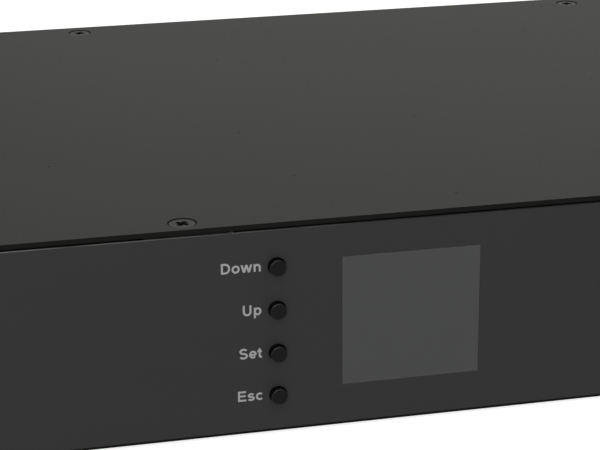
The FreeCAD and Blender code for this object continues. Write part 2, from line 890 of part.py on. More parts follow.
def network_jack(name, across):
    """Moulded socket with a mouth for the plug and a notch for its latch."""
    body = piece(name)
    face = rear + S.jack_proud
    case = centred(across, jack_up, S.jack_width, S.jack_height)
    pad(body, "case", "XZ_Plane", face - S.jack_depth, face, case)
    low = controller_top + S.jack_floor + S.jack_key_height
    half = S.jack_mouth_width / 2
    key = S.jack_key_width / 2
    mouth = outline(
        (across - half, low), (across - key, low), (across - key, low - S.jack_key_height),
        (across + key, low - S.jack_key_height), (across + key, low), (across + half, low),
        (across + half, low + S.jack_mouth_height), (across - half, low + S.jack_mouth_height),
    )
    pocket(body, "mouth", "XZ_Plane", face - S.jack_mouth_depth, face, mouth)
    return body


controller_left = jack_across[0] - S.jack_width / 2 - S.controller_border
controller_right = jack_across[1] + S.jack_width / 2 + S.controller_border
controller_rear = rear_inner - S.controller_setback
controller_front = controller_rear - S.controller_depth
controller_across = (controller_left + controller_right) / 2
controller_low = S.sheet_gauge + S.controller_lift
header_back = controller_front + S.header_gauge
terminal_left = controller_left + S.terminal_inset
header_low = S.ribbon_up - S.ribbon_width / 2 - S.holder_wall
header_high = S.ribbon_up + S.ribbon_width / 2 + S.holder_wall


def controller():
    """Board with the network sockets, its supply, and the parts that stand on it."""
    board = piece("controller_board")
    pad(
        board, "board", "XY_Plane", controller_low, controller_top,
        rectangle(controller_left, controller_front, controller_right, controller_rear),
    )

    clips = piece("controller_clips")
    below = controller_low - S.clip_fit
    above = controller_top + S.clip_fit
    end = controller_top + S.clip_lip
    sections = []
    for edge, outward in ((controller_left, -1), (controller_right, 1)):
        base = edge + S.clip_base * outward
        seat = edge + S.clip_fit * outward
        grip = edge - S.clip_grip * outward
        sections.append(outline(
            (base, S.sheet_gauge), (base, end), (grip, end), (grip, above),
            (seat, above), (seat, below), (grip, below), (grip, S.sheet_gauge),
        ))
    clip_rear = controller_rear - S.clip_setback
    for name, low in (("front", controller_front), ("rear", clip_rear)):
        pad(clips, name, "XZ_Plane", low, low + S.clip_width, *sections)

    chip = piece("processor")
    chip_up = header_back + S.part_gap + S.chip_side / 2
    chip_face = centred(controller_across, chip_up, S.chip_side, S.chip_side)
    pad(chip, "package", "XY_Plane", controller_top, controller_top + S.chip_gauge, chip_face)
    chamfer(chip, "edges", S.chip_gauge / 4, lies(z=controller_top + S.chip_gauge))

    transformer = piece("supply_transformer")
    centre = chip_up + (S.chip_side + S.transformer_depth) / 2 + S.part_gap
    top = controller_top + S.transformer_height
    block = centred(controller_across, centre, S.transformer_width, S.transformer_depth)
    pad(transformer, "block", "XY_Plane", controller_top, top, block)
    chamfer(transformer, "edges", S.chip_gauge, lies(z=top))

    capacitor = piece("supply_capacitor")
    centre = centre + (S.transformer_depth + S.capacitor_gauge) / 2 + S.capacitor_gap
    box = centred(controller_across, centre, S.capacitor_width, S.capacitor_gauge)
    pad(capacitor, "box", "XY_Plane", controller_top, controller_top + S.capacitor_height, box)

    terminal = piece("supply_terminal")
    terminal_back = outlet_back + S.terminal_depth / 4
    pad(
        terminal, "block", "XY_Plane", controller_top, controller_top + S.terminal_height,
        rectangle(
            terminal_left, terminal_back - S.terminal_depth, terminal_left + S.terminal_width, terminal_back,
        ),
    )

    links = piece("supply_links")
    half = S.link_width / 2
    for name, back, up in (("live", outlet_back, live_up), ("neutral", neutral_back, neutral_up)):
        section = rectangle(back - S.bar_gauge, up - half, back, up + half)
        pad(links, name, "YZ_Plane", bar_right, terminal_left, section)

    header = piece("controller_header")
    half = S.header_width / 2
    block = rectangle(controller_across - half, controller_front, controller_across + half, header_back)
    pad(header, "block", "XY_Plane", controller_top, header_high, block)


def display_header():
    """Plug block on the back of the control board, where the ribbon starts."""
    body = piece("display_header")
    half = S.header_width / 2
    block = rectangle(S.window_across - half, header_low, S.window_across + half, header_high)
    pad(body, "block", "XZ_Plane", board_back, board_back + S.header_gauge, block)
    return body


sensor_across = outlet_across[0]
sensor_rear = outlet_back - S.sensor_back
sensor_front = sensor_rear - S.sensor_gauge


def sensor():
    """Metering block on the tray's bottom, with the live lead through its opening."""
    body = piece("current_sensor")
    half = S.sensor_width / 2
    top = live_up + half
    pad(
        body, "block", "XZ_Plane", sensor_front, sensor_rear,
        rectangle(sensor_across - half, S.sheet_gauge, sensor_across + half, top),
        centred(sensor_across, live_up, S.sensor_opening, S.sensor_opening),
    )
    shoulders = [lies(x=sensor_across + half * side, z=top) for side in (-1, 1)]
    chamfer(body, "shoulders", S.sensor_edge, *shoulders)
    return body


def at(across, along, up):
    return Vector(as_size(across).value, as_size(along).value, as_size(up).value)


def rounded_path(points, bend):
    """Straight runs whose corners are rounded off in short chords of one radius."""
    stops = [points[0]]
    for before, corner, after in zip(points, points[1:], points[2:]):
        inward = (before - corner).normalize()
        outward = (after - corner).normalize()
        half_angle = inward.getAngle(outward) / 2
        centre = corner + (inward + outward).normalize() * (bend / math.sin(half_angle))
        cut = bend / math.tan(half_angle)
        entry = corner + inward * cut - centre
        leave = corner + outward * cut - centre
        turn = math.pi - 2 * half_angle
        for step in range(BEND_CHORDS + 1):
            angle = turn * step / BEND_CHORDS
            spoke = entry * math.sin(turn - angle) + leave * math.sin(angle)
            stops.append(centre + spoke / math.sin(turn))
    return Part.makePolygon(stops + [points[-1]])


def swept(name, path, section):
    """A lead of one section along its whole path, mitred where it turns."""
    pipe = Part.BRepOffsetAPI.MakePipeShell(path)
    pipe.setTransitionMode(1)
    pipe.add(section)
    pipe.build()
    pipe.makeSolid()
    item = doc.addObject("Part::Feature", name)
    item.Label = name
    item.Shape = pipe.shape()
    pieces.append(item)
    return item


def wire(name, *points):
    """An insulated lead, drawn with six flats."""
    radius = S.wire_width.value / 2
    spokes = [math.pi * (2 * side + 1) / WIRE_FLATS for side in range(WIRE_FLATS)]
    rim = [points[0] + Vector(radius * math.cos(spoke), 0, radius * math.sin(spoke)) for spoke in spokes]
    section = Part.makePolygon(rim + rim[:1])
    return swept(name, rounded_path(points, S.wire_bend.value), section)


def wiring():
    """Mains leads from the inlet through the breaker to the bars, each on its own level."""
    tab_end = inlet_back - S.inlet_tab_length
    live_pin, neutral_pin, earth_pin = inlet_pin_places
    breaker_end = breaker_back - S.breaker_tab_length
    breaker_in = middle - S.breaker_tab_rise
    breaker_out = middle + S.breaker_tab_rise
    neutral_run = breaker_end - S.wire_drop
    feed_run = neutral_run - S.wire_step
    inlet_run = feed_run - S.wire_step
    earth_run = inlet_run - S.wire_step
    neutral_end = bar_left + S.wire_width / 2
    neutral_rise = neutral_pin[0] * NEUTRAL_RISE + neutral_end * (1 - NEUTRAL_RISE)
    earth_across = sensor_across + S.sensor_width / 2 + S.wire_drop
    wire(
        "inlet_live_wire",
        at(live_pin[0], tab_end, live_pin[1]), at(live_pin[0], inlet_run, live_pin[1]),
        at(breaker_across, inlet_run, breaker_in), at(breaker_across, breaker_end, breaker_in),
    )
    wire(
        "breaker_live_wire",
        at(breaker_across, breaker_end, breaker_out), at(breaker_across, feed_run, breaker_out),
        at(sensor_across, feed_run, live_up), at(sensor_across, outlet_back - S.bar_gauge, live_up),
    )
    wire(
        "neutral_wire",
        at(neutral_pin[0], tab_end, neutral_pin[1]), at(neutral_pin[0], neutral_run, neutral_pin[1]),
        at(neutral_rise, neutral_run, middle), at(neutral_end, neutral_run, neutral_up),
        at(neutral_end, neutral_back - S.bar_gauge, neutral_up),
    )
    wire(
        "earth_wire",
        at(earth_pin[0], tab_end, earth_pin[1]), at(earth_pin[0], earth_run, earth_pin[1]),
        at(earth_across, earth_run, earth_up), at(earth_across, outlet_back - S.bar_gauge, earth_up),
    )


def display_ribbon():
    """Flat lead on edge behind the front wall, from the screen's board to the controller."""
    along = board_back + S.header_gauge / 2
    start = at(S.window_across + S.header_width / 2, along, S.ribbon_up)
    corner = at(controller_across, along, S.ribbon_up)
    end = at(controller_across, controller_front, S.ribbon_up)
    thick = Vector(0, S.ribbon_gauge.value / 2, 0)
    tall = Vector(0, 0, S.ribbon_width.value / 2)
    corners = [start - thick - tall, start + thick - tall, start + thick + tall, start - thick + tall]
    section = Part.makePolygon(corners + corners[:1])
    return swept("display_ribbon", rounded_path([start, corner, end], S.ribbon_bend.value), section)


base_tray()
top_cover()
cover_screws()
rack_bracket("rack_bracket_left", -1)
rack_bracket("rack_bracket_right", 1)
front_overlay()
display_window()
display_module()
display_holder()
control_board()
control_board_clips()
for button_name, button_height in zip(BUTTON_NAMES, button_ups):
    button_and_switch(button_name, button_height)
display_header()
for order, place in enumerate(outlet_across, 1):
    outlet(f"outlet_{order}", place)
contact_bars()
power_inlet()
breaker()
for order, place in enumerate(jack_across, 1):
    network_jack(f"network_jack_{order}", place)
controller()
sensor()
wiring()
display_ribbon()
doc.recompute()

for item in doc.Objects:
    if "Invalid" in item.State or "Error" in item.State:
        raise RuntimeError(f"{item.Name} did not build: {item.State}")
for item in pieces:
    if item.Shape.isNull() or not item.Shape.isValid():
        raise RuntimeError(f"{item.Label} has no valid solid")

os.makedirs("parts", exist_ok=True)
for item in pieces:
    item.Shape.exportStep(f"parts/{item.Label}.step")
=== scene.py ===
import math

import bmesh
import bpy
from mathutils import Matrix, Vector
from mathutils.geometry import delaunay_2d_cdt


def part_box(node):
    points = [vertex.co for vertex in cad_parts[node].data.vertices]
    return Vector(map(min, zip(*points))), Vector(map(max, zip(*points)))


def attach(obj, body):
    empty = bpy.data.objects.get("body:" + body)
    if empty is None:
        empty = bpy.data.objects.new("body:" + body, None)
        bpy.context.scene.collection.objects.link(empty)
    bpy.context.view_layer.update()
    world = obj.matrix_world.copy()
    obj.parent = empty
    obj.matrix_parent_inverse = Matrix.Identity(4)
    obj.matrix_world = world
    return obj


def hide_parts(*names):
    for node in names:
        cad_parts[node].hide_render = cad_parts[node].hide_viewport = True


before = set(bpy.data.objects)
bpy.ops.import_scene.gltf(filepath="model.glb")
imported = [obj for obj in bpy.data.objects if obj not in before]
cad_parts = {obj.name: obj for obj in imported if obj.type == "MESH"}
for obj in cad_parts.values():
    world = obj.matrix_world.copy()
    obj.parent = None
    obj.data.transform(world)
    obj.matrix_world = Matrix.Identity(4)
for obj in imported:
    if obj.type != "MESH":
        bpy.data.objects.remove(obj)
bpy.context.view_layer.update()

# Tray of the case: one sheet of steel, folded up into the bottom and four walls, with bent tabs for
# the cover's screws. It is powder coated in a satin black with a fine grain and a few specks. A darker,
# matt copy of the coat is painted shade. On the tray it covers the fold along the front foot.
MM = 0.001
UNIT = "unit"
TRAY_EDGE = 0.12 * MM
PAINT_COLOUR = (0.0079, 0.0079, 0.0074)
PAINT_GLOSS = 0.19
PAINTED_SHADE_COLOUR = (0.0053, 0.0053, 0.0051)
PAINTED_SHADE_GLOSS = 0.0
FOLD_RISE = 1.3 * MM
PAINT_ROUGHNESS = 0.51
GRAIN_PER_METRE = 2600
GRAIN_DETAIL = 3.0
GRAIN_SHADES = 0.12
GRAIN_ROUGHENS = 0.1
GRAIN_HEIGHT = 0.02 * MM
MOTTLE_PER_METRE = 70
MOTTLE_DETAIL = 4.0
MOTTLE_SHADES = 0.16
SPECK_PER_METRE = 420
SPECK_RADIUS = 0.13
SPECK_SHARE = 0.025
SPECK_DARKENS = 0.7
SPECK_ROUGHENS = 0.25
MERGE_WITHIN = 0.001 * MM
FLAT_WITHIN = math.radians(0.5)
EDGE_FROM = math.radians(32)
FACE_WEIGHT = 100


class Field:
    """A socket in a material's tree: sums and products on it add Math nodes, and add() any other node."""

    def __init__(self, tree, socket=None):
        self.tree = tree
        self.socket = socket

    def add(self, kind, settings, inputs, output=0):
        node = self.tree.nodes.new(kind)
        for name, value in settings.items():
            setattr(node, name, value)
        for name, value in inputs.items():
            if isinstance(value, Field):
                self.tree.links.new(value.socket, node.inputs[name])
            else:
                node.inputs[name].default_value = value
        return Field(self.tree, node.outputs[output])

    def math(self, operation, first, second):
        return self.add("ShaderNodeMath", {"operation": operation}, {0: first, 1: second})

    def swing(self, share):
        """A pattern from 0 to 1 as a swing to both sides of 0, as wide as the share."""
        return (self - 0.5) * share

    def __add__(self, other):
        return self.math("ADD", self, other)

    def __sub__(self, other):
        return self.math("SUBTRACT", self, other)

    def __rsub__(self, other):
        return self.math("SUBTRACT", other, self)

    def __mul__(self, other):
        return self.math("MULTIPLY", self, other)

    def __lt__(self, other):
        return self.math("LESS_THAN", self, other)

    __radd__ = __add__
    __rmul__ = __mul__


class Finish:
    """A principled material and the Object coordinates that its patterns are drawn on."""

    def __init__(self, name, **constants):
        self.material = bpy.data.materials.new(name)
        self.material.use_nodes = True
        self.tree = self.material.node_tree
        self.shader = self.tree.nodes["Principled BSDF"]
        for socket, amount in constants.items():
            self.shader.inputs[socket.replace("_", " ")].default_value = amount
        self.place = Field(self.tree).add("ShaderNodeTexCoord", {}, {}, "Object")

    def noise(self, per_metre, detail=2.0, stretch=(1, 1, 1)):
        spot = self.place.add("ShaderNodeMapping", {}, {"Vector": self.place, "Scale": stretch})
        inputs = {"Vector": spot, "Scale": per_metre, "Detail": detail}
        return spot.add("ShaderNodeTexNoise", {}, inputs, "Fac")

    def cells(self, per_metre, output):
        inputs = {"Vector": self.place, "Scale": per_metre}
        return self.place.add("ShaderNodeTexVoronoi", {}, inputs, output)

    def tint(self, colour, gain):
        """A colour made lighter or darker by a value that lies round 1."""
        return gain.add("ShaderNodeVectorMath", {"operation": "SCALE"}, {0: colour[:3], "Scale": gain})

    def blend(self, factor, one, other):
        """A mix of two colours, through the colour sockets of a Mix node."""
        settings = {"data_type": "RGBA"}
        inputs = {0: factor, 6: one, 7: other}
        return factor.add("ShaderNodeMix", settings, inputs, 2)

    def colour(self, field):
        self.tree.links.new(field.socket, self.shader.inputs["Base Color"])

    def roughness(self, field):
        self.tree.links.new(field.socket, self.shader.inputs["Roughness"])

    def glow(self, field):
        self.tree.links.new(field.socket, self.shader.inputs["Emission Color"])

    def relief(self, height, distance):
        bump = height.add("ShaderNodeBump", {}, {"Height": height, "Distance": distance})
        self.tree.links.new(bump.socket, self.shader.inputs["Normal"])


def powder_coat(name, colour, gloss):
    """Satin powder coat: fine grain, faint mottling and a few dark specks."""
    finish = Finish(name, Specular_IOR_Level=gloss)
    grain = finish.noise(GRAIN_PER_METRE, GRAIN_DETAIL)
    mottle = finish.noise(MOTTLE_PER_METRE, MOTTLE_DETAIL)
    lot = finish.cells(SPECK_PER_METRE, "Color")
    lone = lot.add("ShaderNodeSeparateColor", {}, {"Color": lot}) < SPECK_SHARE
    speck = (finish.cells(SPECK_PER_METRE, "Distance") < SPECK_RADIUS) * lone
    gain = 1 + mottle.swing(MOTTLE_SHADES) + grain.swing(GRAIN_SHADES) - speck * SPECK_DARKENS
    finish.colour(finish.tint(colour, gain))
    finish.roughness(PAINT_ROUGHNESS + grain.swing(GRAIN_ROUGHENS) + speck * SPECK_ROUGHENS)
    finish.relief(grain, GRAIN_HEIGHT)
    return finish.material


def plain(piece):
    """The piece as its modifiers leave it, as a mesh of its own."""
    graph = bpy.context.evaluated_depsgraph_get()
    mesh = bpy.data.meshes.new_from_object(piece.evaluated_get(graph))
    piece.modifiers.clear()
    piece.data = mesh
    return piece


def new_piece(name, mesh):
    piece = bpy.data.objects.new(name, mesh)
    bpy.context.scene.collection.objects.link(piece)
    return piece


def softened(node, edge, segments=2):
    """A copy of a CAD node with its facets joined into faces and its sharp edges rounded off."""
    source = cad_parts[node].data
    shape = bmesh.new()
    corners = [shape.verts.new(vertex.co) for vertex in source.vertices]
    for polygon in source.polygons:
        shape.faces.new([corners[index] for index in polygon.vertices])
    bmesh.ops.remove_doubles(shape, verts=shape.verts, dist=MERGE_WITHIN)
    bmesh.ops.dissolve_limit(shape, angle_limit=FLAT_WITHIN, verts=shape.verts, edges=shape.edges)
    mesh = bpy.data.meshes.new(node)
    shape.to_mesh(mesh)
    shape.free()
    mesh.shade_smooth()
    piece = new_piece(f"{node}_shell", mesh)
    bevel = piece.modifiers.new("edges", "BEVEL")
    bevel.width = edge
    bevel.segments = segments
    bevel.limit_method = "ANGLE"
    bevel.angle_limit = EDGE_FROM
    shading = piece.modifiers.new("shading", "WEIGHTED_NORMAL")
    shading.weight = FACE_WEIGHT
    return plain(piece)


def dress(piece, node, material, body=UNIT):
    """Gives a piece its material, lets it stand for its CAD node and ride on its body."""
    piece.data.materials.clear()
    piece.data.materials.append(material)
    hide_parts(node)
    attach(piece, body)


def second_coat(piece, material, chosen):
    """Gives the chosen faces of a dressed piece a second material."""
    piece.data.materials.append(material)
    for polygon in piece.data.polygons:
        polygon.material_index = int(chosen(polygon))


case_paint = powder_coat("case_powder_coat", PAINT_COLOUR, PAINT_GLOSS)
# The darker, matt copy of the coat stands in for shade: painted shade on the front fold, the cover's edges
# and the screws' recesses.
shade_paint = powder_coat("painted_shade_coat", PAINTED_SHADE_COLOUR, PAINTED_SHADE_GLOSS)
tray = softened("base_tray", TRAY_EDGE)
dress(tray, "base_tray", case_paint)
front_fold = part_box("base_tray")[0].y + FOLD_RISE
second_coat(tray, shade_paint, lambda face: face.center.y < front_fold and face.center.z < FOLD_RISE)

# Rack brackets: two angles folded from thicker steel and welded to the sides of the tray. They carry
# the same coat as the case, and their ears have two slots each for the rack's screws.
BRACKET_EDGE = 0.2 * MM
for node in ("rack_bracket_left", "rack_bracket_right"):
    dress(softened(node, BRACKET_EDGE), node, case_paint)

# Outlets: moulded black blocks that snap into the rear wall. Each has a lip, a moat for the plug's
# shroud and a core with three slots, all with the fine spark-eroded grain of a mould.
OUTLET_NODES = [f"outlet_{number}" for number in range(1, 9)]
MOULDING_EDGE = 0.25 * MM
MOULDING_COLOUR = (0.017, 0.017, 0.018)
MOULDING_ROUGHNESS = 0.42
MOULDING_GLOSS = 0.5
MOULD_GRAIN_PER_METRE = 4200
MOULD_GRAIN_HEIGHT = 0.015 * MM
FLOW_PER_METRE = 90
FLOW_DETAIL = 3.0
FLOW_STRETCH = (1, 0.35, 1)
FLOW_ROUGHENS = 0.1
MOULDING_SHADES = 0.12


def moulding(name, colour, roughness=MOULDING_ROUGHNESS, gloss=MOULDING_GLOSS):
    """Moulded plastic: a fine eroded grain with slow flow marks."""
    finish = Finish(name, Specular_IOR_Level=gloss)
    grain = finish.noise(MOULD_GRAIN_PER_METRE)
    flow = finish.noise(FLOW_PER_METRE, FLOW_DETAIL, FLOW_STRETCH)
    finish.colour(finish.tint(colour, 1 + grain.swing(MOULDING_SHADES) + flow.swing(MOULDING_SHADES)))
    finish.roughness(roughness + flow.swing(FLOW_ROUGHENS))
    finish.relief(grain, MOULD_GRAIN_HEIGHT)
    return finish.material


black_moulding = moulding("black_moulding", MOULDING_COLOUR)
for node in OUTLET_NODES:
    dress(softened(node, MOULDING_EDGE), node, black_moulding)

# Contact bars: strips of brass behind the outlets, punched and folded, with a spring contact in every
# slot. The rolled surface keeps fine lines along the strip and a little tarnish.
BRASS_COLOUR = (0.72, 0.53, 0.22)
BRASS_ROUGHNESS = 0.28
BRASS_STRETCH = (0.05, 1, 1)
TARNISH_COLOUR = (0.45, 0.29, 0.12, 1)
TARNISH_PER_METRE = 120
TARNISH_DETAIL = 4.0
TARNISH_SHARE = 0.5
LINES_PER_METRE = 900
LINE_ROUGHENS = 0.15
LINE_HEIGHT = 0.004 * MM


def rolled_metal(name, colour, tarnish, roughness, stretch):
    """Bare strip metal: fine rolling lines and patches of tarnish."""
    finish = Finish(name, Metallic=1.0)
    lines = finish.noise(LINES_PER_METRE, stretch=stretch)
    patches = finish.noise(TARNISH_PER_METRE, TARNISH_DETAIL)
    finish.colour(finish.blend(patches * TARNISH_SHARE, (*colour, 1), tarnish))
    finish.roughness(roughness + lines * LINE_ROUGHENS)
    finish.relief(lines, LINE_HEIGHT)
    return finish.material


def restyle(material, *nodes):
    """A CAD node that keeps its shape gets a better material in its own slots."""
    for node in nodes:
        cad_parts[node].data.materials.clear()
        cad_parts[node].data.materials.append(material)


bar_brass = rolled_metal("bar_brass", BRASS_COLOUR, TARNISH_COLOUR, BRASS_ROUGHNESS, BRASS_STRETCH)
restyle(bar_brass, "live_bar", "neutral_bar", "earth_bar", "supply_links")

# Mains inlet: a moulded cup that snaps into the rear wall, and its three blades of nickel-plated brass
# with softened tips, pressed through the floor of the cup.
PIN_EDGE = 0.4 * MM
PIN_EDGE_SEGMENTS = 3
PIN_ROUGHNESS = 0.16
PIN_STRETCH = (1, 0.05, 1)
PIN_COLOUR = (0.66, 0.65, 0.61)
PIN_WEAR_COLOUR = (0.50, 0.47, 0.40, 1)
dress(softened("power_inlet", MOULDING_EDGE), "power_inlet", black_moulding)
plated_pin = rolled_metal("plated_pin", PIN_COLOUR, PIN_WEAR_COLOUR, PIN_ROUGHNESS, PIN_STRETCH)
dress(softened("inlet_pins", PIN_EDGE, PIN_EDGE_SEGMENTS), "inlet_pins", plated_pin)

# Breaker: a moulded black case that snaps into the rear wall, and the off-white push button in its face,
# which pops out when it trips and is pushed back in by hand.
RESET_COLOUR = (0.70, 0.69, 0.65)
RESET_ROUGHNESS = 0.38
RESET_EDGE_SEGMENTS = 3
dress(softened("breaker_body", MOULDING_EDGE), "breaker_body", black_moulding)
reset_white = moulding("reset_white", RESET_COLOUR, RESET_ROUGHNESS)
reset = softened("breaker_button", MOULDING_EDGE, RESET_EDGE_SEGMENTS)
dress(reset, "breaker_button", reset_white, "breaker_button_body")

# Network sockets: two moulded boxes on the controller board, with their mouths in the rear wall. Eight
# gold-plated spring wires run along the roof of each mouth and slope down towards its back.
JACK_NODES = ("network_jack_1", "network_jack_2")
JACK_EDGE = 0.15 * MM
JACK_WALL = 1.5 * MM
JACK_MOUTH_DEPTH = 13.0 * MM
CONTACT_COUNT = 8
CONTACT_PITCH = 1.02 * MM
CONTACT_WIDTH = 0.46 * MM
CONTACT_DROP = 3.6 * MM
CONTACT_START = 2.0 * MM
CONTACT_KNEE = 4.0 * MM
CONTACT_ROOT = 0.4 * MM
GOLD_COLOUR = (0.83, 0.60, 0.22)
GOLD_SHADE = (0.55, 0.36, 0.12, 1)
GOLD_ROUGHNESS = 0.18
GOLD_STRETCH = (1, 0.1, 1)


def row_tree():
    """Nodes that set out copies of a piece in columns and rows, each turned by chance up to a limit."""
    tree = bpy.data.node_groups.new("set_out_in_rows", "GeometryNodeTree")
    face = tree.interface
    face.new_socket("Geometry", in_out="INPUT", socket_type="NodeSocketGeometry")
    for name in ("Columns", "Rows", "Seed"):
        face.new_socket(name, in_out="INPUT", socket_type="NodeSocketInt")
    for name in ("Width", "Depth", "Turn"):
        face.new_socket(name, in_out="INPUT", socket_type="NodeSocketFloat")
    face.new_socket("Centre", in_out="INPUT", socket_type="NodeSocketVector")
    face.new_socket("Material", in_out="INPUT", socket_type="NodeSocketMaterial")
    face.new_socket("Geometry", in_out="OUTPUT", socket_type="NodeSocketGeometry")
    given = tree.nodes.new("NodeGroupInput").outputs
    grid = tree.nodes.new("GeometryNodeMeshGrid")
    shift = tree.nodes.new("GeometryNodeSetPosition")
    chance = tree.nodes.new("FunctionNodeRandomValue")
    turn = tree.nodes.new("ShaderNodeCombineXYZ")
    copies = tree.nodes.new("GeometryNodeInstanceOnPoints")
    whole = tree.nodes.new("GeometryNodeRealizeInstances")
    finish = tree.nodes.new("GeometryNodeSetMaterial")
    result = tree.nodes.new("NodeGroupOutput")
    amount = next(socket for socket in chance.outputs if socket.enabled)
    limits = [socket for socket in chance.inputs if socket.enabled and socket.name == "Max"]
    for source, target in (
        (given["Width"], grid.inputs["Size X"]), (given["Depth"], grid.inputs["Size Y"]),
        (given["Columns"], grid.inputs["Vertices X"]), (given["Rows"], grid.inputs["Vertices Y"]),
        (grid.outputs["Mesh"], shift.inputs["Geometry"]), (given["Centre"], shift.inputs["Offset"]),
        (given["Turn"], limits[0]), (given["Seed"], chance.inputs["Seed"]), (amount, turn.inputs["Z"]),
        (shift.outputs["Geometry"], copies.inputs["Points"]),
        (given["Geometry"], copies.inputs["Instance"]),
        (turn.outputs["Vector"], copies.inputs["Rotation"]),
        (copies.outputs["Instances"], whole.inputs["Geometry"]),
        (whole.outputs["Geometry"], finish.inputs["Geometry"]),
        (given["Material"], finish.inputs["Material"]),
        (finish.outputs["Geometry"], result.inputs["Geometry"]),
    ):
        tree.links.new(source, target)
    return tree


def set_out(piece, **sizes):
    """The piece repeated by the row tree, as one plain mesh."""
    modifier = piece.modifiers.new("rows", "NODES")
    modifier.node_group = rows
    for socket in rows.interface.items_tree:
        if socket.in_out == "INPUT" and socket.name in sizes:
            modifier[socket.identifier] = sizes[socket.name]
    return plain(piece)


def strip(name, path, width):
    """A wire of square section along a path of (depth, height) points, centred on its width."""
    shape = bmesh.new()
    half = width / 2
    rings = []
    for along, up in path:
        section = ((-half, up - half), (half, up - half), (half, up + half), (-half, up + half))
        rings.append([shape.verts.new((across, along, level)) for across, level in section])
    for one, other in zip(rings, rings[1:]):
        for index in range(4):
            following = (index + 1) % 4
            shape.faces.new((one[index], one[following], other[following], other[index]))
    shape.faces.new(rings[0])
    shape.faces.new(rings[-1])
    bmesh.ops.recalc_face_normals(shape, faces=shape.faces)
    mesh = bpy.data.meshes.new(name)
    shape.to_mesh(mesh)
    shape.free()
    return mesh


rows = row_tree()
contact_gold = rolled_metal("contact_gold", GOLD_COLOUR, GOLD_SHADE, GOLD_ROUGHNESS, GOLD_STRETCH)
for node in JACK_NODES:
    low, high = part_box(node)
    dress(softened(node, JACK_EDGE), node, black_moulding)
    roof = high.z - JACK_WALL - CONTACT_WIDTH
    root = high.y - JACK_MOUTH_DEPTH + CONTACT_ROOT
    path = [(high.y - CONTACT_START, roof), (high.y - CONTACT_KNEE, roof), (root, roof - CONTACT_DROP)]
    contacts = set_out(
        new_piece(f"{node}_contacts", strip(f"{node}_contacts", path, CONTACT_WIDTH)),
        Columns=CONTACT_COUNT, Rows=1, Width=CONTACT_PITCH * (CONTACT_COUNT - 1),
        Centre=((low.x + high.x) / 2, 0, 0), Material=contact_gold,
    )
    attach(contacts, UNIT)

# Controller: a lacquered green board in white clips behind the network sockets, with its supply and
# processor soldered on. It lies inside the closed case.
BOARD_COLOUR = (0.02, 0.13, 0.06)
BOARD_ROUGHNESS = 0.35
WHITE_COLOUR = (0.74, 0.73, 0.68)
WHITE_ROUGHNESS = 0.45
CAPACITOR_COLOUR = (0.60, 0.43, 0.05)
CAPACITOR_ROUGHNESS = 0.4
board_green = moulding("board_green", BOARD_COLOUR, BOARD_ROUGHNESS)
white_moulding = moulding("white_moulding", WHITE_COLOUR, WHITE_ROUGHNESS)
capacitor_yellow = moulding("capacitor_yellow", CAPACITOR_COLOUR, CAPACITOR_ROUGHNESS)
restyle(board_green, "controller_board", "supply_terminal")
restyle(white_moulding, "controller_clips")
restyle(black_moulding, "processor", "supply_transformer", "controller_header", "current_sensor")
restyle(capacitor_yellow, "supply_capacitor")

# Wiring: insulated leads from the inlet through the breaker to the bars, and a flat grey ribbon from the
# controller to the display.
INSULATION_ROUGHNESS = 0.4
LEAD_COLOURS = {
    "brown_insulation": ((0.16, 0.065, 0.025), ("inlet_live_wire", "breaker_live_wire")),
    "blue_insulation": ((0.025, 0.09, 0.40), ("neutral_wire",)),
    "green_insulation": ((0.09, 0.34, 0.06), ("earth_wire",)),
    "grey_ribbon": ((0.40, 0.40, 0.41), ("display_ribbon",)),
}
for name, (colour, nodes) in LEAD_COLOURS.items():
    restyle(moulding(name, colour, INSULATION_ROUGHNESS), *nodes)

# Display board: it stands behind the front wall in white clips and carries four key switches, the
# holder of the screen and the ribbon's plug.
KEY_NAMES = ("down", "up", "set", "esc")
SWITCH_NODES = [f"key_switch_{name}" for name in KEY_NAMES]
restyle(board_green, "control_board")
restyle(white_moulding, "control_board_clips", "display_holder")
restyle(black_moulding, "display_header", *SWITCH_NODES)

# Screen: a square glass panel with a polarising film bonded to its face. It stands in its holder behind
# the window, unlit and grey-green.
SCREEN_COLOUR = (0.030, 0.032, 0.030)
SCREEN_ROUGHNESS = 0.5
SCREEN_CLOUDS_PER_METRE = 60
CLOUD_SHADES = 0.2
screen_face = Finish("screen_face", Roughness=SCREEN_ROUGHNESS)
cloud = screen_face.noise(SCREEN_CLOUDS_PER_METRE)
screen_face.colour(screen_face.tint(SCREEN_COLOUR, 1 + cloud.swing(CLOUD_SHADES)))
restyle(screen_face.material, "display_module")

# Front film: a matt printed panel bonded to the front wall, with holes for the buttons and an opening for
# the window. Its faces that look up, chiefly its top cut edge, carry a painted highlight in broken
# patches, strongest towards the left and fading out to the right. Its foot is trimmed clear of the tray's
# fold, and its holes are cut close round the buttons.
FILM_EDGE = 0.06 * MM
FOOT_BAND = 1.0 * MM
FOOT_TRIM = 0.3 * MM
HOLE_REACH = 2.2 * MM
HOLE_SHARE = 0.9
WINDOW_RAISE = 0.19 * MM
WINDOW_WIDEN = 0.14 * MM
WINDOW_REACH = 0.3 * MM
FILM_ROUGHNESS = 0.57
FILM_SHADES = 0.08
WEAVE_PER_METRE = 5200
WEAVE_ROUGHENS = 0.1
WEAVE_HEIGHT = 0.008 * MM
FILM_CLOUDS_PER_METRE = 25
FILM_CLOUD_DETAIL = 3.0
FILM_COLOUR = (0.0101, 0.0101, 0.0102)
FILM_GLOSS = 0.12
EDGE_HIGHLIGHT_COLOUR = (0.095, 0.095, 0.0912, 1)
HIGHLIGHT_BREAKS_PER_METRE = 140
HIGHLIGHT_LEFT_OF = -60 * MM
HIGHLIGHT_FADE = 40 * MM
HIGHLIGHT_GAIN = 2.8
HIGHLIGHT_CUT = 0.6
FILM_EDGE_ROUGHNESS = 0.5
